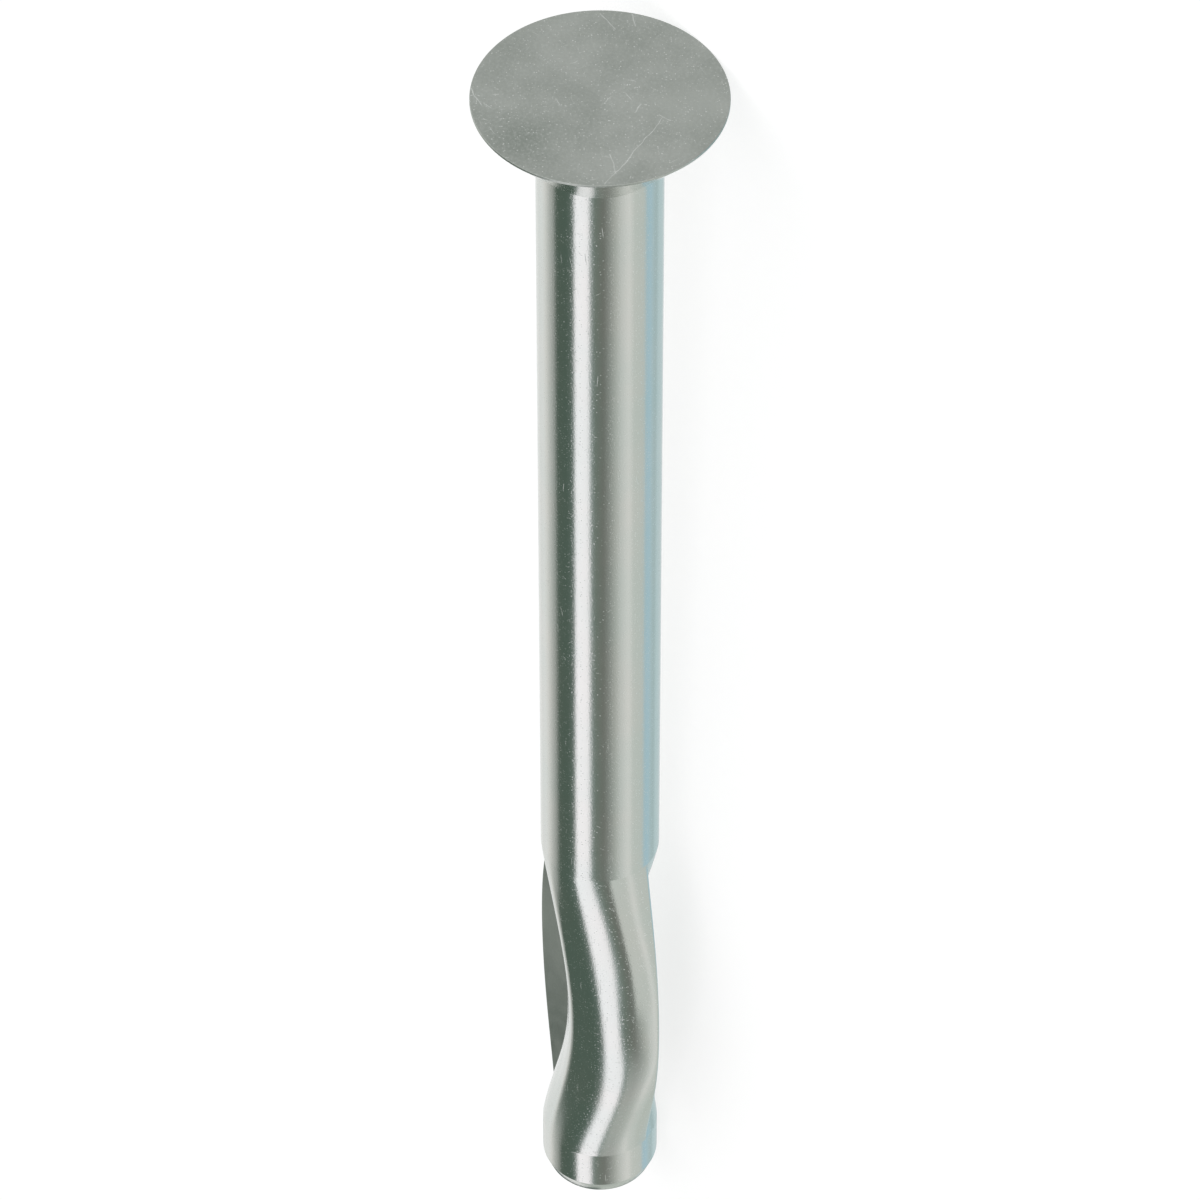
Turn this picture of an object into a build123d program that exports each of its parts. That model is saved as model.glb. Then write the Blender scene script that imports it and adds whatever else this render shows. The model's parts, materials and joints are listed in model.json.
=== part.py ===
"""Split-drive anchor: a one-piece steel anchor with a countersunk head.

The shank is slit lengthwise near its end, and the two half-round legs are sheared past
each other into opposite bows. Driven into a drilled hole, the legs are squeezed back in
line and grip its wall. The anchor lies on the ground on the rim of its head and the end
of its tip, with its two bows level, one to each side.
"""

import os
from math import atan, cos, radians, sin, sqrt, tan

from build123d import *

# Driving dimensions, in millimetres and degrees
shank_diameter = 6.35
head_diameter = 12.7
head_angle = 82          # included angle of the countersunk underside
head_rim = 0.12          # height of the straight edge round the head's face
overall_length = 79.5
bow_length = 22.8        # length of the slit, and of the two bowed legs
tip_length = 3.3         # whole tip below the slit, its taper included
bow_offset = 2.45        # how far a leg's middle is pushed off the anchor's axis
leg_turn = 18            # how far a leg has turned about its own line at its middle
slit_width = 0.3         # play between the flat faces of the two legs
taper_height = 0.85      # taper at the end of the tip, along the anchor
taper_width = 0.33       # the same taper, across the anchor
leg_sections = 9         # cross-sections that shape each leg

# Sizes that follow
head_radius = head_diameter / 2
shank_radius = shank_diameter / 2
cone_height = (head_radius - shank_radius) / tan(radians(head_angle / 2))
bow_end = overall_length - tip_length
bow_start = bow_end - bow_length
taper_start = overall_length - taper_height
tip_radius = shank_radius - taper_width
flat_half_width = sqrt(shank_radius**2 - (slit_width / 2) ** 2)

# Lying down, the shank leans between the rim of the head and the end of the tip
lean_slope = (head_radius - shank_radius) / (taper_start - head_rim)
lean = atan(lean_slope)

# The anchor's own plane: origin at the centre of the head's face, Z down the shank.
# The box round the whole anchor is centred over the origin and stands on Z = 0.
head_reach = head_radius * sin(lean)
tip_reach = overall_length * cos(lean) + tip_radius * sin(lean)
face_centre = (
    0,
    (head_reach - tip_reach) / 2,
    head_radius * cos(lean) + head_rim * sin(lean),
)
axis_plane = Plane(face_centre, x_dir=(1, 0, 0), z_dir=(0, cos(lean), -sin(lean)))
profile_plane = Plane(face_centre, x_dir=(1, 0, 0), z_dir=-axis_plane.y_dir)
shank_axis = Axis(face_centre, axis_plane.z_dir)


def leg_plane(fraction, half_turn):
    """Plane of one cross-section of a leg, a fraction of the way along the bow.

    The bows lie level, so their direction is the plane's own X, or against it.
    """
    parabola = 1 - (2 * fraction - 1) ** 2
    bulge = parabola * (1 + parabola) / 2
    slit_direction = half_turn - leg_turn * (1 - bulge)
    centre = axis_plane.from_local_coords(
        (
            bow_offset * bulge * cos(radians(half_turn)),
            bow_offset * bulge * sin(radians(half_turn)),
            bow_start + bow_length * fraction,
        )
    )
    along_slit = axis_plane.x_dir.rotate(shank_axis, slit_direction)
    return Plane(centre, x_dir=along_slit, z_dir=axis_plane.z_dir)


with BuildPart() as anchor_body:
    # Head and plain shank, turned about the anchor's axis
    with BuildSketch(profile_plane):
        with BuildLine():
            Polyline(
                (0, 0),
                (head_radius, 0),
                (head_radius, head_rim),
                (shank_radius, head_rim + cone_height),
                (shank_radius, bow_start),
                (0, bow_start),
                close=True,
            )
        make_face()
    revolve(axis=shank_axis)

    # The two half-round legs, each bowed to its own side of the shank
    for half_turn in (0, 180):
        for section in range(leg_sections):
            with BuildSketch(leg_plane(section / (leg_sections - 1), half_turn)):
                with BuildLine():
                    ThreePointArc(
                        (flat_half_width, slit_width / 2),
                        (0, shank_radius),
                        (-flat_half_width, slit_width / 2),
                    )
                    Line(
                        (-flat_half_width, slit_width / 2),
                        (flat_half_width, slit_width / 2),
                    )
                make_face()
        loft()

    # Whole tip, with a short taper that starts the anchor into its hole
    with BuildSketch(profile_plane):
        with BuildLine():
            Polyline(
                (0, bow_end),
                (shank_radius, bow_end),
                (shank_radius, taper_start),
                (tip_radius, overall_length),
                (0, overall_length),
                close=True,
            )
        make_face()
    revolve(axis=shank_axis)

anchor_body.part.label = "anchor_body"

os.makedirs("parts", exist_ok=True)
export_step(anchor_body.part, "parts/anchor_body.step")
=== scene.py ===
# %% [markdown]
# # A split-drive anchor in bright zinc
# This is a small steel anchor that is hammered into a drilled hole. It is made from one
# piece of wire: a flat countersunk head is struck on one end, and near the other end the
# shank is slit lengthwise and its two halves are pushed past each other into a double bow.
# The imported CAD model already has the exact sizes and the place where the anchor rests, so
# the lesson starts from it and builds a finer surface in the same place.

import json
from math import asin, atan2, cos, degrees, pi, radians, sin

import bmesh
import bpy
from mathutils import Matrix, Vector


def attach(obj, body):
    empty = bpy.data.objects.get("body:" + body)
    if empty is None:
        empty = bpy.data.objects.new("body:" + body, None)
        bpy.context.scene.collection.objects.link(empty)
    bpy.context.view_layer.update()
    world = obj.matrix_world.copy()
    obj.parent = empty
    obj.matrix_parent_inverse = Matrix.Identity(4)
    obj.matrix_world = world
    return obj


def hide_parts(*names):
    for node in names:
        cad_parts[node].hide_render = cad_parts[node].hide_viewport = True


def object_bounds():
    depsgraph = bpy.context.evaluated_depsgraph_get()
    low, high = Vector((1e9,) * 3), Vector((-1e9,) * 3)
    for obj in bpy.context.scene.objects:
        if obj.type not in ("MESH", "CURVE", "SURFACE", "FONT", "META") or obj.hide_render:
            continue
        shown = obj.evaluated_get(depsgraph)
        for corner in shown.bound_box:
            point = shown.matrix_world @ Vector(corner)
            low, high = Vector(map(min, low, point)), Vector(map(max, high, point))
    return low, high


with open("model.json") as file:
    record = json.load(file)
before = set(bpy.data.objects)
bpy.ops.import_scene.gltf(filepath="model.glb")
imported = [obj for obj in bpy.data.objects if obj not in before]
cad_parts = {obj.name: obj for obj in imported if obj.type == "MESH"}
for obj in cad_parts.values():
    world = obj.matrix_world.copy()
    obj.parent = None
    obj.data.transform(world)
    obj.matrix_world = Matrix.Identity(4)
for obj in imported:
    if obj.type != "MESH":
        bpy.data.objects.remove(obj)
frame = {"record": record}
cad_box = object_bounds()
print("CAD box:", [tuple(round(v, 5) for v in corner) for corner in cad_box])

# %% [markdown]
# ## The anchor's own axes
# A turned part is easiest to model upright, round its own axis, and is laid down when it is
# done. The record says where the head's face is and which way it looks. From that come three
# directions: down the shank, across it, and the third at right angles to both.

# %% Axes of the anchor
mounts = {mount["name"]: mount for mount in frame["record"]["mounts"]}
face_centre = Vector(mounts["head_face"]["pos_m"])
along = -Vector(mounts["head_face"]["axis"]).normalized()
across = Vector((1, 0, 0))
under = along.cross(across)
turn_down = Matrix((across, under, along)).transposed().to_4x4()
laid_down = Matrix.Translation(face_centre) @ turn_down
print("the shank leans by", round(degrees(asin(-along.z)), 2), "degrees")

# %% [markdown]
# ## The anchor's sizes
# These are the sizes of the CAD model, in metres. The slit is a little under a third of the
# anchor, and the whole tip below it is only as long as half the shank's width. The bow alone
# is drawn 0.15 mm flatter than in the CAD, where the punch has pressed the backs of the legs.

# %% Sizes
mm = 0.001
shank_radius = 3.175 * mm
head_radius = 6.35 * mm
head_rim = 0.12 * mm
cone_height = 3.6524 * mm
overall_length = 79.5 * mm
bow_start = 53.4 * mm
bow_length = 22.8 * mm
bow_offset = 2.3 * mm
leg_turn = 18
bow_end = bow_start + bow_length
taper_height = 0.85 * mm
taper_width = 0.33 * mm
bevel_width = 0.06 * mm
ring_gap = 0.4 * mm
print("slit from", bow_start, "to", bow_end, "of", overall_length)

# %% [markdown]
# ## Camera
# The camera looks down on the head from a short way off the anchor's axis, through a long
# lens, so that the far end hardly shrinks. Its three directions are built from the anchor's
# own axes, and it is set back from the head by a number of shank widths.

# %% Camera
def round_the_axis(angle):
    """A direction square to the anchor's axis, at an angle in degrees from across to under."""
    return across * cos(radians(angle)) + under * sin(radians(angle))


view_right = round_the_axis(125.3)
toward_viewer = round_the_axis(215.3)
out_share, back_share = 0.6954, 0.7186
to_camera = (toward_viewer * out_share - along * back_share).normalized()
view_up = to_camera.cross(view_right)
shank_width = 2 * shank_radius
framed_below = 3.845 * shank_width
camera_distance = 58.02 * shank_width
camera_data = bpy.data.cameras.new("camera")
camera_data.sensor_width = 36
camera_data.lens = 227.8
camera_data.clip_start = 0.01
camera_data.clip_end = 10
camera = bpy.data.objects.new("camera", camera_data)
bpy.context.scene.collection.objects.link(camera)
camera_place = face_centre - view_up * framed_below + to_camera * camera_distance
camera_turn = Matrix((view_right, view_up, to_camera)).transposed().to_4x4()
camera.matrix_world = Matrix.Translation(camera_place) @ camera_turn
bpy.context.scene.camera = camera
bpy.context.scene.view_settings.view_transform = "Standard"
print("camera is", round((camera_place - face_centre).length, 3), "m from the head")

# %% [markdown]
# ## Head and plain shank
# On the real anchor the head is struck from the wire's end. Here a circle with a filled face
# becomes the head's face, and its border is pulled down and scaled, ring by ring: over the
# rolled edge, down the rim, in along the countersunk cone and down the shank to the slit.
# The circle is turned so that two of its corners lie where the slit will be.

# %% Head and plain shank
corners = 132


def pull_border(depth, radius, now):
    """Extrudes the selected border down to a depth and out or in to a radius."""
    bpy.ops.mesh.extrude_region_move(TRANSFORM_OT_translate={"value": (0, 0, depth - now[0])})
    scale = radius / now[1]
    bpy.ops.transform.resize(value=(scale, scale, 1), center_override=(0, 0, depth))
    return depth, radius


bpy.ops.object.select_all(action="DESELECT")
edge = 0.05 * mm
bpy.ops.mesh.primitive_circle_add(
    vertices=corners, radius=head_radius - edge, fill_type="NGON",
    location=(0, 0, 0), rotation=(0, 0, -radians(leg_turn)),
)
anchor = bpy.context.object
anchor.name = "split_drive_anchor"
bpy.ops.object.transform_apply(location=True, rotation=True, scale=True)
bpy.ops.object.mode_set(mode="EDIT")
profile = [
    (0.3 * edge, head_radius - 0.3 * edge),
    (edge, head_radius),
    (head_rim, head_radius),
    (head_rim + cone_height, shank_radius),
    (head_rim + cone_height + ring_gap, shank_radius),
    (bow_start - ring_gap, shank_radius),
    (bow_start, shank_radius),
]
now = (0, head_radius - edge)
for depth, radius in profile:
    now = pull_border(depth, radius, now)
bpy.ops.mesh.edge_face_add()
print("rings from the face to the slit:", len(profile) + 1)

# %% [markdown]
# ## The two legs
# The slit splits the shank into two half-round legs. The end of the shank is cut across, and
# each half-round face is extruded step by step. At each step the face moves along the bow
# and turns a little round its own middle, because a leg that is sheared sideways also
# twists.

# %% Where the legs begin
def faces_at(depth, test):
    """Selects the faces square to the axis at a depth whose middles pass a test."""
    mesh = bmesh.from_edit_mesh(anchor.data)
    for face in mesh.faces:
        middle = face.calc_center_median()
        square = abs(abs(face.normal.z) - 1) < 1e-3
        face.select = square and abs(middle.z - depth) < 1e-6 and test(middle)
    mesh.select_flush_mode()
    bmesh.update_edit_mesh(anchor.data)
    return sum(face.select for face in mesh.faces)


def flat_way(angle):
    """A direction square to the upright anchor's axis, at an angle in degrees."""
    return Vector((cos(radians(angle)), sin(radians(angle)), 0))


slit_across = flat_way(90 - leg_turn)
bpy.ops.mesh.select_mode(type="FACE")
faces_at(bow_start, lambda middle: True)
bpy.ops.mesh.bisect(plane_co=(0, 0, bow_start), plane_no=slit_across)
print("faces at the end of the shank:", faces_at(bow_start, lambda middle: True))

# %% Extrude the legs along their bows
steps = 48
leg_rings = []


def bow_at(fraction):
    """How far a leg is pushed sideways, from 0 at the slit's ends to 1 just above its middle."""
    fraction += 0.12 * fraction ** 2 * (1 - fraction)
    parabola = 1 - (2 * fraction - 1) ** 2
    return parabola * (1 + parabola) / 2


for half_turn, side in ((0, 1), (180, -1)):
    bow_way = flat_way(half_turn)
    faces_at(bow_start, lambda middle: middle.dot(slit_across) * side > 0)
    for step in range(1, steps + 1):
        before, after = bow_at((step - 1) / steps), bow_at(step / steps)
        sideways = bow_way * bow_offset * (after - before)
        bpy.ops.mesh.extrude_region_move(
            TRANSFORM_OT_translate={"value": sideways + Vector((0, 0, bow_length / steps))})
        depth = bow_start + bow_length * step / steps
        centre = bow_way * bow_offset * after + Vector((0, 0, depth))
        bpy.ops.transform.rotate(value=-radians(leg_turn * (after - before)), orient_axis="Z",
                                 center_override=centre)
        mesh = bmesh.from_edit_mesh(anchor.data)
        mesh.verts.index_update()
        ring = [vert.index for vert in mesh.verts if vert.select]
        leg_rings.append((half_turn, after, centre.copy(), ring))
print("each leg has", steps, "steps and", len(ring), "corners round")

# %% [markdown]
# ## Marks of the punch
# The punch that pushes a leg sideways presses its crown a little flatter, and the die that
# holds it leaves a second flat with a blunt ridge beside it. The corners of each ring are
# moved in or out from the leg's middle by a share of its radius. The share is read from a
# short list of angles, eased between them, and it grows with the bow.

# %% Press the legs out of round
pressed = [(-20, 0.020), (0, 0.035), (20, 0.012), (40, -0.022), (56, -0.042), (71, -0.045),
           (79, -0.036), (84, -0.020), (89, 0.004), (95, 0.036), (99, 0.036), (106, 0.008),
           (115, -0.020), (150, -0.030), (180, 0)]


def pressed_at(angle):
    """Share of the radius by which a leg is pressed out of round at an angle."""
    angle = min(max(angle, pressed[0][0]), pressed[-1][0])
    for place in range(len(pressed) - 1):
        (low, share), (high, next_share) = pressed[place], pressed[place + 1]
        if low <= angle <= high:
            before = pressed[max(place - 1, 0)]
            after = pressed[min(place + 2, len(pressed) - 1)]
            slope = (next_share - before[1]) / (high - before[0]) * (high - low)
            next_slope = (after[1] - share) / (after[0] - low) * (high - low)
            part = (angle - low) / (high - low)
            return (share * (1 + 2 * part) * (1 - part) ** 2 + slope * part * (1 - part) ** 2
                    + next_share * part ** 2 * (3 - 2 * part)
                    - next_slope * part ** 2 * (1 - part))


mesh = bmesh.from_edit_mesh(anchor.data)
mesh.verts.ensure_lookup_table()
for half_turn, bulge, centre, ring in leg_rings:
    for index in ring:
        vert = mesh.verts[index]
        arm = vert.co - centre
        angle = degrees(atan2(arm.dot(flat_way(half_turn + 90)), arm.dot(flat_way(half_turn))))
        if angle < -90:
            angle += 360
        vert.co += arm * pressed_at(angle) * bulge * (2 - bulge)
bmesh.update_edit_mesh(anchor.data)
print("deepest press:", round(max(-share for _, share in pressed) * shank_radius / mm, 2), "mm")

# %% [markdown]
# ## The tip
# Below the slit the wire is whole again, and a short taper helps it into the hole. The two
# half-round ends lie in one plane and meet in one edge. Merging that edge and dissolving the
# two faces makes one disc, and that disc is extruded to the tip's end.

# %% Close the slit and make the tip
bpy.ops.mesh.select_all(action="SELECT")
bpy.ops.mesh.remove_doubles(threshold=1e-7)
print("half-round ends:", faces_at(bow_end, lambda middle: True))
bpy.ops.mesh.dissolve_faces()
print("after dissolving:", faces_at(bow_end, lambda middle: True))
now = (bow_end, shank_radius)
for depth, radius in (
    (bow_end + ring_gap, shank_radius),
    (overall_length - taper_height, shank_radius),
    (overall_length, shank_radius - taper_width),
):
    now = pull_border(depth, radius, now)
bpy.ops.mesh.select_all(action="SELECT")
bpy.ops.mesh.normals_make_consistent(inside=False)

# %% [markdown]
# ## Small edges
# No edge of a plated part is a knife edge. The long edges of the legs and the end of the tip
# get a narrow bevel, which catches the thin bright line that such edges show. The rings where
# the legs leave the shank stay sharp, because the light jumps there.

# %% Bevel the long edges and mark the sharp rings
def choose_edges(test):
    """Selects the edges that pass a test and returns how many there are."""
    bpy.ops.mesh.select_mode(type="EDGE")
    bpy.ops.mesh.select_all(action="DESELECT")
    mesh = bmesh.from_edit_mesh(anchor.data)
    for edge_line in mesh.edges:
        edge_line.select = test(edge_line)
    mesh.select_flush_mode()
    bmesh.update_edit_mesh(anchor.data)
    return sum(edge_line.select for edge_line in mesh.edges)


def along_leg(edge_line):
    """True for an edge that runs down a leg where its round meets its flat."""
    depths = [vert.co.z for vert in edge_line.verts]
    inside = min(depths) > bow_start + 0.3 * mm and max(depths) < bow_end - 0.3 * mm
    return inside and len(edge_line.link_faces) == 2 and edge_line.calc_face_angle(0) > radians(60)


def round_the_end(edge_line):
    """True for the last ring of the tip."""
    return all(vert.co.z > overall_length - 0.01 * mm for vert in edge_line.verts)


def on_ring(depth):
    """A test for the edges that lie in the plane at a depth."""
    return lambda edge_line: all(abs(vert.co.z - depth) < 1e-7 for vert in edge_line.verts)


print("long leg edges:", choose_edges(along_leg))
bpy.ops.mesh.bevel(offset=bevel_width, segments=2, affect="EDGES", clamp_overlap=True)
print("tip edges:", choose_edges(round_the_end))
bpy.ops.mesh.bevel(offset=bevel_width, segments=2, affect="EDGES", clamp_overlap=True)
for depth in (bow_start, bow_end, head_rim + cone_height, overall_length - taper_height):
    print("sharp ring at", round(depth, 5), "has", choose_edges(on_ring(depth)), "edges")
    bpy.ops.mesh.mark_sharp()
bpy.ops.mesh.select_all(action="SELECT")
bpy.ops.mesh.normals_make_consistent(inside=False)
bpy.ops.object.mode_set(mode="OBJECT")
print("faces:", len(anchor.data.polygons))

# %% [markdown]
# ## Laying it down
# The finished mesh is turned and moved as a whole onto the place of the CAD model, and the
# move is applied, so that the object itself stays at the origin. It rides on the root body
# and stands for the CAD solid.

# %% Lay the anchor down and put it in the frame
anchor.matrix_world = laid_down
bpy.ops.object.select_all(action="DESELECT")
anchor.select_set(True)
bpy.context.view_layer.objects.active = anchor
bpy.ops.object.transform_apply(location=True, rotation=True, scale=True)
sharp_before = [edge_line.use_edge_sharp for edge_line in anchor.data.edges]
bpy.ops.object.shade_smooth_by_angle(angle=radians(35))
for edge_line, sharp in zip(anchor.data.edges, sharp_before):
    edge_line.use_edge_sharp = edge_line.use_edge_sharp or sharp
weighted = anchor.modifiers.new("weighted normals", "WEIGHTED_NORMAL")
weighted.keep_sharp = True
bpy.ops.object.modifier_apply(modifier=weighted.name)
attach(anchor, "root")
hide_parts("anchor_body")
print("sharp edges:", sum(edge_line.use_edge_sharp for edge_line in anchor.data.edges))

# %% [markdown]
# ## Patterns in the anchor's own axes
# Scratches and grain are drawn in millimetres, in axes that lie in the anchor: the third one
# runs down the shank. Round the shank a pattern is laid out flat, by the angle round the axis
# times the radius, with its seam on the side that faces the ground.

# %% Node helpers
def add_node(tree, kind, **settings):
    """Adds a node of a kind and sets what it is told to."""
    made = tree.nodes.new(kind)
    for name, value in settings.items():
        setattr(made, name, value)
    return made


def sum_up(tree, operation, first, second, clamp=False):
    """A Math node's output; each of its two inputs is a number or another output."""
    made = add_node(tree, "ShaderNodeMath", operation=operation, use_clamp=clamp)
    for socket, value in zip(made.inputs, (first, second)):
        if isinstance(value, (int, float)):
            socket.default_value = value
        else:
            tree.links.new(value, socket)
    return made.outputs[0]


def ease(tree, value, low, high, start=0, end=1):
    """Eases a value from start to end while it runs from low to high."""
    made = add_node(tree, "ShaderNodeMapRange", interpolation_type="SMOOTHSTEP")
    tree.links.new(value, made.inputs["Value"])
    for name, number in (("From Min", low), ("From Max", high), ("To Min", start), ("To Max", end)):
        made.inputs[name].default_value = number
    return made.outputs["Result"]


pattern_axes = Matrix((toward_viewer, -view_right, along)).transposed().to_euler()


def anchor_millimetres(tree):
    """Millimetres in the anchor's own axes, from the middle of the head's face."""
    place = add_node(tree, "ShaderNodeMapping", vector_type="TEXTURE")
    place.inputs["Location"].default_value = face_centre
    place.inputs["Rotation"].default_value = pattern_axes
    place.inputs["Scale"].default_value = (mm, mm, mm)
    tree.links.new(add_node(tree, "ShaderNodeTexCoord").outputs["Object"], place.inputs["Vector"])
    return place.outputs["Vector"]


def unrolled(tree, millimetres):
    """The shank's skin laid out flat: round it in millimetres, then down it."""
    parts = add_node(tree, "ShaderNodeSeparateXYZ")
    tree.links.new(millimetres, parts.inputs[0])
    angle = sum_up(tree, "ARCTAN2", parts.outputs["Y"], parts.outputs["X"])
    skin = add_node(tree, "ShaderNodeCombineXYZ")
    tree.links.new(sum_up(tree, "MULTIPLY", angle, shank_radius / mm), skin.inputs["X"])
    tree.links.new(parts.outputs["Z"], skin.inputs["Y"])
    return skin.outputs[0]


def clouds(tree, place, scale, detail=3, roughness=0.5):
    """Soft noise with a number of waves in a millimetre."""
    made = add_node(tree, "ShaderNodeTexNoise")
    made.inputs["Scale"].default_value = scale
    made.inputs["Detail"].default_value = detail
    made.inputs["Roughness"].default_value = roughness
    tree.links.new(place, made.inputs["Vector"])
    return made.outputs["Fac"]


def hairlines(tree, place, direction, length, width, kept, wander=0.0):
    """Sparse thin scratches that run in one direction; kept is the share that shows."""
    half_size = 0.05
    way = place
    if wander:
        bend = add_node(tree, "ShaderNodeTexNoise")
        bend.inputs["Scale"].default_value = 0.5
        tree.links.new(place, bend.inputs["Vector"])
        shift = add_node(tree, "ShaderNodeVectorMath", operation="MULTIPLY_ADD")
        tree.links.new(bend.outputs["Color"], shift.inputs[0])
        shift.inputs[1].default_value = (wander, wander, 0)
        tree.links.new(place, shift.inputs[2])
        way = shift.outputs[0]
    turned = add_node(tree, "ShaderNodeMapping", vector_type="POINT")
    turned.inputs["Rotation"].default_value = (0, 0, radians(direction))
    tree.links.new(way, turned.inputs["Vector"])
    drawn = add_node(tree, "ShaderNodeMapping", vector_type="POINT")
    drawn.inputs["Scale"].default_value = (2 * half_size / length, 2 * half_size / width, 1)
    tree.links.new(turned.outputs[0], drawn.inputs["Vector"])
    cells = add_node(tree, "ShaderNodeTexVoronoi", voronoi_dimensions="2D")
    cells.inputs["Scale"].default_value = 1
    tree.links.new(drawn.outputs[0], cells.inputs["Vector"])
    line = ease(tree, cells.outputs["Distance"], half_size, 0.4 * half_size)
    chance = add_node(tree, "ShaderNodeSeparateColor")
    tree.links.new(cells.outputs["Color"], chance.inputs[0])
    shown = sum_up(tree, "LESS_THAN", chance.outputs[0], kept)
    fade = sum_up(tree, "MULTIPLY", shown, chance.outputs[1])
    return sum_up(tree, "MULTIPLY", line, fade)


def specks(tree, place, per_millimetre, size, kept):
    """Tiny round pits; size is their radius as a share of their spacing."""
    cells = add_node(tree, "ShaderNodeTexVoronoi", voronoi_dimensions="3D")
    cells.inputs["Scale"].default_value = per_millimetre
    tree.links.new(place, cells.inputs["Vector"])
    chance = add_node(tree, "ShaderNodeSeparateColor")
    tree.links.new(cells.outputs["Color"], chance.inputs[0])
    dot = ease(tree, cells.outputs["Distance"], size, size * 0.5)
    shown = sum_up(tree, "LESS_THAN", chance.outputs[0], kept)
    return sum_up(tree, "MULTIPLY", dot, sum_up(tree, "MULTIPLY", shown, chance.outputs[1]))


def on_face(right, near):
    """A place on the head's face, in millimetres to the right and towards the camera."""
    return near, -right, 0


def scratch(tree, place, start, end, width):
    """One scratch on the head's face, a little bent, from one place on it to another."""
    start, end = Vector(on_face(*start)), Vector(on_face(*end))
    bend = add_node(tree, "ShaderNodeTexNoise")
    bend.inputs["Scale"].default_value = 0.7
    tree.links.new(place, bend.inputs["Vector"])
    bent = add_node(tree, "ShaderNodeVectorMath", operation="MULTIPLY_ADD")
    tree.links.new(bend.outputs["Color"], bent.inputs[0])
    bent.inputs[1].default_value = (0.5, 0.5, 0)
    tree.links.new(place, bent.inputs[2])
    arm = add_node(tree, "ShaderNodeVectorMath", operation="SUBTRACT")
    tree.links.new(bent.outputs[0], arm.inputs[0])
    arm.inputs[1].default_value = start + Vector((0.25, 0.25, 0))
    reach = add_node(tree, "ShaderNodeVectorMath", operation="DOT_PRODUCT")
    tree.links.new(arm.outputs[0], reach.inputs[0])
    reach.inputs[1].default_value = (end - start) / (end - start).length_squared
    run = sum_up(tree, "MULTIPLY", reach.outputs["Value"], 1, clamp=True)
    back = add_node(tree, "ShaderNodeVectorMath", operation="SCALE")
    back.inputs[0].default_value = end - start
    tree.links.new(run, back.inputs["Scale"])
    off = add_node(tree, "ShaderNodeVectorMath", operation="DISTANCE")
    tree.links.new(arm.outputs[0], off.inputs[0])
    tree.links.new(back.outputs[0], off.inputs[1])
    fading = sum_up(tree, "MULTIPLY", clouds(tree, place, 3), 1.4, clamp=True)
    return sum_up(tree, "MULTIPLY", ease(tree, off.outputs["Value"], width, 0), fading)


def soft_round_patch(tree, place, middle, radius):
    """A soft round patch on the head's face, 1 in its middle and 0 at its radius."""
    off = add_node(tree, "ShaderNodeVectorMath", operation="DISTANCE")
    tree.links.new(place, off.inputs[0])
    off.inputs[1].default_value = on_face(*middle)
    return ease(tree, off.outputs["Value"], radius, 0)


def strongest(tree, *masks):
    """The largest of several masks at each point."""
    result = masks[0]
    for mask in masks[1:]:
        result = sum_up(tree, "MAXIMUM", result, mask)
    return result


def blend_colours(tree, factor, first, second):
    """A Mix node of two colours or colour outputs."""
    made = add_node(tree, "ShaderNodeMix", data_type="RGBA")
    tree.links.new(factor, made.inputs["Factor"])
    for name, value in (("A", first), ("B", second)):
        if isinstance(value, tuple):
            made.inputs[name].default_value = (*value, 1)
        else:
            tree.links.new(value, made.inputs[name])
    return made.outputs["Result"]


def raise_surface(tree, height, distance, strength, before=None):
    """A Bump node; distance is in metres."""
    made = add_node(tree, "ShaderNodeBump")
    made.inputs["Strength"].default_value = strength
    made.inputs["Distance"].default_value = distance
    tree.links.new(height, made.inputs["Height"])
    if before is not None:
        tree.links.new(before, made.inputs["Normal"])
    return made.outputs["Normal"]


def new_metal(name):
    """A material with its Principled shader set to metal, and the anchor's millimetres."""
    material = bpy.data.materials.new(name)
    material.use_nodes = True
    tree = material.node_tree
    shader = tree.nodes["Principled BSDF"]
    shader.inputs["Metallic"].default_value = 1
    return material, tree, shader, anchor_millimetres(tree)


print("pattern axes turned by", [round(degrees(angle), 1) for angle in pattern_axes])

# %% [markdown]
# ## Bright zinc on the drawn shank
# Zinc plate on drawn wire is almost a mirror, with a faint blue-green cast. It is full of
# small faults that only show in the dark reflections: specks where dust was plated over,
# hairline scratches from tumbling with hundreds of others, and a slight waviness. Scratches
# are rougher than the rest, so that they scatter light into the dark bands.

# %% Bright zinc
bright, tree, shader, place = new_metal("bright_zinc")
skin = unrolled(tree, place)
lines = strongest(
    tree,
    hairlines(tree, skin, 86, 0.9, 0.030, 0.35, wander=0.5),
    hairlines(tree, skin, 35, 0.40, 0.028, 0.18, wander=0.8),
    hairlines(tree, skin, -40, 0.35, 0.028, 0.18, wander=0.8),
    hairlines(tree, skin, 8, 0.25, 0.030, 0.25, wander=0.3),
)
dust = strongest(tree, specks(tree, place, 10, 0.40, 0.42), specks(tree, place, 6.3, 0.26, 0.36),
                 specks(tree, place, 2.3, 0.11, 0.25))
worn = strongest(tree, lines, dust)
cast = ease(tree, clouds(tree, place, 0.22), 0.35, 0.65)
tinted = blend_colours(tree, cast, (0.70, 0.735, 0.705), (0.735, 0.745, 0.715))
coloured = blend_colours(tree, worn, tinted, (0.88, 0.90, 0.88))
tree.links.new(coloured, shader.inputs["Base Color"])
gloss = ease(tree, clouds(tree, place, 1.1, detail=4), 0.3, 0.7, 0.10, 0.14)
tree.links.new(sum_up(tree, "ADD", gloss, sum_up(tree, "MULTIPLY", worn, 0.22)),
               shader.inputs["Roughness"])
drawn_way = add_node(tree, "ShaderNodeMapping", vector_type="POINT")
drawn_way.inputs["Scale"].default_value = (6, 6, 0.25)
tree.links.new(place, drawn_way.inputs["Vector"])
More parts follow.
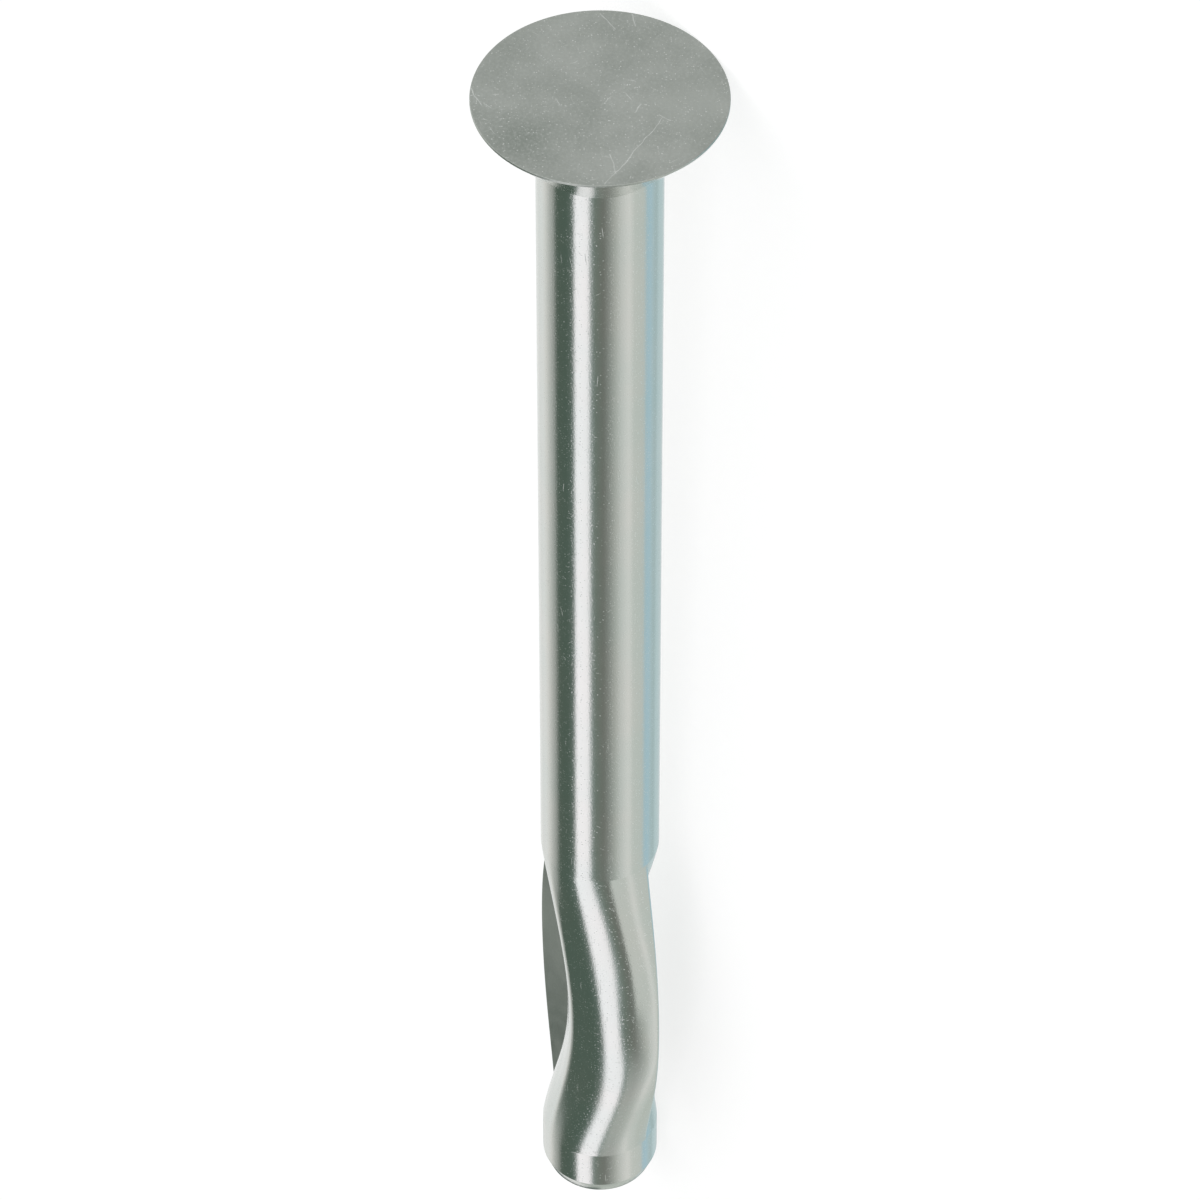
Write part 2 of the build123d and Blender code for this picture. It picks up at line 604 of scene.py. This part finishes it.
waves = raise_surface(tree, clouds(tree, drawn_way.outputs[0], 1, detail=2), 0.002 * mm, 0.35)
grain = clouds(tree, place, 11, detail=2, roughness=0.7)
grain = raise_surface(tree, grain, 0.0055 * mm, 0.7, waves)
tree.links.new(raise_surface(tree, worn, 0.006 * mm, 0.5, grain), shader.inputs["Normal"])
anchor.data.materials.append(bright)
print(bright.name, "has", len(tree.nodes), "nodes")

# %% [markdown]
# ## Satin zinc on the head's face
# The die that strikes the head leaves its face satin, and the face is what rubs against the
# other anchors in the barrel. It reflects softly and a shade darker, with cloudy patches,
# specks and a few long scratches.

# %% Satin zinc
satin, tree, shader, place = new_metal("satin_zinc")
mottle = clouds(tree, place, 0.32, detail=5, roughness=0.55)
fine = clouds(tree, place, 5.5, detail=4, roughness=0.7)
lines = strongest(
    tree,
    scratch(tree, place, (3.05, 1.5), (0.3, 6.2), 0.030),
    scratch(tree, place, (2.9, 1.3), (3.4, 1.75), 0.04),
    scratch(tree, place, (-0.1, -6.1), (0.8, -4.9), 0.035),
    scratch(tree, place, (1.55, -6.0), (1.7, -5.1), 0.035),
    scratch(tree, place, (0.45, 4.2), (0.8, 5.5), 0.035),
    scratch(tree, place, (-6.25, -0.6), (-5.7, 0.5), 0.045),
    scratch(tree, place, (1.75, 1.1), (2.0, 0.5), 0.045),
    hairlines(tree, place, 20, 0.9, 0.04, 0.25, wander=1.2),
    hairlines(tree, place, 75, 0.6, 0.04, 0.25, wander=1.5),
    hairlines(tree, place, -48, 0.7, 0.04, 0.25, wander=1.0),
)
dust = strongest(tree, specks(tree, place, 9, 0.36, 0.34), specks(tree, place, 4.7, 0.21, 0.20),
                 specks(tree, place, 1.4, 0.08, 0.22))
worn = strongest(tree, lines, dust)
patchy = blend_colours(tree, ease(tree, mottle, 0.3, 0.7),
                       (0.455, 0.487, 0.452), (0.535, 0.562, 0.53))
# The face's colour is darker in a round patch on the left, toward the camera, and lighter in one on
# the right.
with_darker_patch = blend_colours(tree, soft_round_patch(tree, place, (-3.6, 2.9), 2.7), patchy,
                        (0.375, 0.41, 0.375))
with_lighter_patch = blend_colours(tree, soft_round_patch(tree, place, (4.4, 0.4), 3.2), with_darker_patch,
                       (0.55, 0.58, 0.545))
speckled = blend_colours(tree, ease(tree, fine, 0.40, 0.75, 0, 0.5), with_lighter_patch, (0.64, 0.67, 0.64))
tree.links.new(blend_colours(tree, worn, speckled, (0.82, 0.84, 0.82)),
               shader.inputs["Base Color"])
gloss = ease(tree, mottle, 0.25, 0.75, 0.34, 0.46)
tree.links.new(sum_up(tree, "ADD", gloss, sum_up(tree, "MULTIPLY", worn, 0.2)),
               shader.inputs["Roughness"])
grain = raise_surface(tree, fine, 0.004 * mm, 0.5)
tree.links.new(raise_surface(tree, worn, 0.006 * mm, 0.6, grain), shader.inputs["Normal"])
anchor.data.materials.append(satin)
print(satin.name, "has", len(tree.nodes), "nodes")

# %% [markdown]
# ## Torn zinc on the flats of the legs
# Where the legs were sheared past each other the steel tore instead of being drawn, so the
# plate on the flats is dull, dark and finely grained.

# %% Torn zinc
torn, tree, shader, place = new_metal("torn_zinc")
cloudy = clouds(tree, place, 0.8, detail=4)
fine = clouds(tree, place, 9, detail=3, roughness=0.7)
patchy = blend_colours(tree, ease(tree, cloudy, 0.3, 0.7),
                       (0.33, 0.365, 0.33), (0.385, 0.418, 0.38))
tree.links.new(blend_colours(tree, ease(tree, fine, 0.4, 0.8, 0, 0.3), patchy, (0.55, 0.58, 0.55)),
               shader.inputs["Base Color"])
tree.links.new(ease(tree, cloudy, 0.3, 0.7, 0.5, 0.6), shader.inputs["Roughness"])
tree.links.new(raise_surface(tree, fine, 0.006 * mm, 0.6), shader.inputs["Normal"])
anchor.data.materials.append(torn)
print(torn.name, "has", len(tree.nodes), "nodes")

# %% [markdown]
# ## Which face gets which finish
# The slots are given out by place and size: the head's face and rim lie above the cone, and
# the flats of the legs are the widest faces between the ends of the slit.

# %% Give out the finishes
into_anchor = laid_down.inverted()
counts = [0, 0, 0]
flat_area = 1.2 * mm ** 2
for face in anchor.data.polygons:
    middle = into_anchor @ face.center
    slot = 0
    if middle.z < head_rim:
        slot = 1
    elif bow_start < middle.z < bow_end and face.area > flat_area:
        slot = 2
    face.material_index = slot
    counts[slot] += 1
print("bright, satin and torn faces:", counts)

# %% [markdown]
# ## Floor
# A plain white floor carries the shadow. The camera sees it lifted by a glow, so that it
# looks as white as the paper of a studio, and the shadow stays. To the metal the floor is
# clear: what shines in the metal from below is the lower half of the studio, which is
# just as pale.

# %% Floor
bpy.ops.object.select_all(action="DESELECT")
bpy.ops.mesh.primitive_plane_add(size=6, location=(0, 0, min(cad_box[0].z, 0)))
floor = bpy.context.object
floor.name = "floor"
paper = bpy.data.materials.new("white_paper")
paper.use_nodes = True
tree = paper.node_tree
sheet = tree.nodes["Principled BSDF"]
sheet.inputs["Base Color"].default_value = (0.45, 0.45, 0.45, 1)
sheet.inputs["Roughness"].default_value = 1
sheet.inputs["Specular IOR Level"].default_value = 0
sheet.inputs["Emission Color"].default_value = (1, 1, 1, 1)
rays = add_node(tree, "ShaderNodeLightPath")
tree.links.new(sum_up(tree, "MULTIPLY", rays.outputs["Is Camera Ray"], 0.70),
               sheet.inputs["Emission Strength"])
clear = add_node(tree, "ShaderNodeBsdfTransparent")
choice = add_node(tree, "ShaderNodeMixShader")
tree.links.new(rays.outputs["Is Glossy Ray"], choice.inputs["Fac"])
tree.links.new(sheet.outputs[0], choice.inputs[1])
tree.links.new(clear.outputs[0], choice.inputs[2])
tree.links.new(choice.outputs[0], tree.nodes["Material Output"].inputs["Surface"])
floor.data.materials.append(paper)
print("floor at", round(floor.location.z, 6))

# %% [markdown]
# ## Studio light
# Bright metal shows nothing but the room round it. A photographer lays a long strip light
# and two dark flags beside a shiny pin, and their reflections draw its roundness. The world
# is such a room: its colour depends on the angle round the anchor's axis, so the flags run
# along the shank, and they stand beyond the tip, where the shank reflects them. The camera
# itself sees only white.

# %% Directions in the studio
world = bpy.data.worlds.new("studio")
bpy.context.scene.world = world
world.use_nodes = True
tree = world.node_tree
sky = tree.nodes["Background"]
ray_way = add_node(tree, "ShaderNodeTexCoord").outputs["Generated"]


def facing(way):
    """A node output: how far a ray runs along a direction, from -1 to 1."""
    dot = add_node(tree, "ShaderNodeVectorMath", operation="DOT_PRODUCT")
    tree.links.new(ray_way, dot.inputs[0])
    dot.inputs[1].default_value = way
    return dot.outputs["Value"]


down_axis = facing(along)
turn = sum_up(tree, "ARCTAN2", facing(view_right), facing(toward_viewer))
turn = sum_up(tree, "MULTIPLY", turn, 180 / pi)
steep = sum_up(tree, "MULTIPLY", ease(tree, down_axis, 0.70, 0.35),
               ease(tree, turn, -70, -50, 0, 9))
turn = sum_up(tree, "SUBTRACT", turn, steep)
spread = sum_up(tree, "MULTIPLY", ease(tree, down_axis, 0.73, 0.92),
                ease(tree, turn, -42, -20, 0, 9))
turn = sum_up(tree, "SUBTRACT", turn, spread)
opening = ease(tree, turn, -14, 24)
wider = sum_up(tree, "MULTIPLY", sum_up(tree, "SUBTRACT", 0.72, down_axis), 42)
turn = sum_up(tree, "ADD", turn, sum_up(tree, "MULTIPLY", opening, wider))
part_turn = sum_up(tree, "ADD", sum_up(tree, "DIVIDE", turn, 360), 0.5)

# %% Flags, strip light and walls, by their angle round the axis
room_colours = [
    (-180, (0.95, 0.95, 0.95)),
    (-142, (0.81, 0.82, 0.81)),
    (-128, (0.87, 0.88, 0.875)),
    (-116, (0.80, 0.79, 0.77)),
    (-106, (0.60, 0.61, 0.59)),
    (-92, (0.36, 0.38, 0.36)),
    (-86, (0.10, 0.135, 0.11)),
    (-62, (0.095, 0.135, 0.11)),
    (-50, (0.16, 0.20, 0.18)),
    (-46, (1.17, 1.145, 1.19)),
    (-22, (1.13, 1.09, 1.13)),
    (-16, (0.32, 0.37, 0.36)),
    (-10, (0.185, 0.225, 0.195)),
    (7, (0.19, 0.20, 0.18)),
    (17, (0.30, 0.32, 0.30)),
    (30, (0.51, 0.53, 0.50)),
    (40, (0.67, 0.69, 0.67)),
    (56, (0.82, 0.82, 0.80)),
    (66, (0.66, 0.69, 0.66)),
    (90, (0.62, 0.66, 0.63)),
    (94, (0.47, 0.64, 0.72)),
    (106, (0.48, 0.66, 0.75)),
    (112, (0.50, 0.64, 0.68)),
    (120, (0.47, 0.59, 0.61)),
    (126, (0.46, 0.58, 0.60)),
    (132, (0.56, 0.70, 0.73)),
    (156, (0.58, 0.68, 0.70)),
    (176, (0.92, 0.93, 0.93)),
]
room = add_node(tree, "ShaderNodeValToRGB")
tree.links.new(part_turn, room.inputs["Fac"])
while len(room.color_ramp.elements) < len(room_colours):
    room.color_ramp.elements.new(0.5)
for stop, (angle, _) in zip(room.color_ramp.elements, room_colours):
    stop.position = angle / 360 + 0.5
for stop, (_, colour) in zip(room.color_ramp.elements, room_colours):
    stop.color = (*colour, 1)
print("colours round the axis:", len(room.color_ramp.elements))

# %% The room as a whole
# Each patch fades in over a share of the way down the axis and a range of degrees round it.
near_end = sum_up(tree, "MULTIPLY", ease(tree, down_axis, 0.74, 0.97, 0, 0.62),
                  sum_up(tree, "MULTIPLY", ease(tree, turn, -16, -6), ease(tree, turn, 40, 26)))
flags = blend_colours(tree, near_end, room.outputs["Color"], (0.62, 0.63, 0.61))
far_end = sum_up(tree, "MULTIPLY", ease(tree, down_axis, 0.66, 0.52),
                 sum_up(tree, "MULTIPLY", ease(tree, turn, 14, 18), ease(tree, turn, 54, 44)))
flags = blend_colours(tree, far_end, flags, (0.66, 0.68, 0.65))
under_left = sum_up(tree, "MULTIPLY", ease(tree, down_axis, 0.74, 0.80),
                    ease(tree, turn, -158, -168))
flags = blend_colours(tree, under_left, flags, (0.13, 0.17, 0.15))
under_right = sum_up(tree, "MULTIPLY", ease(tree, down_axis, 0.74, 0.80),
                     ease(tree, turn, 158, 168))
flags = blend_colours(tree, under_right, flags, (0.31, 0.37, 0.35))
blue_end = sum_up(tree, "MULTIPLY", ease(tree, down_axis, 0.78, 0.92),
                  ease(tree, turn, 84, 94))
flags = blend_colours(tree, blue_end, flags, (0.56, 0.60, 0.56))
left_side = sum_up(tree, "MULTIPLY", ease(tree, turn, -118, -108), ease(tree, turn, -80, -90))
left_end = sum_up(tree, "MULTIPLY", ease(tree, down_axis, 0.75, 0.86), left_side)
flags = blend_colours(tree, left_end, flags, (0.11, 0.145, 0.12))
flags = blend_colours(tree, ease(tree, down_axis, 0.95, 0.99), flags, (0.47, 0.51, 0.475))
walls = blend_colours(tree, ease(tree, down_axis, -0.1, 0.12), (1.0, 1.0, 1.0), flags)
front_card = ease(tree, down_axis, -0.25, -0.6)
below = ease(tree, facing(Vector((0, 0, 1))), 0.0, -0.2)
walls = blend_colours(tree, sum_up(tree, "MULTIPLY", front_card, below), walls, (0.52, 0.53, 0.52))
rays = add_node(tree, "ShaderNodeLightPath")
tree.links.new(blend_colours(tree, rays.outputs["Is Camera Ray"], walls, (1.0, 1.0, 1.0)),
               sky.inputs["Color"])
print("the studio has", len(tree.nodes), "nodes")
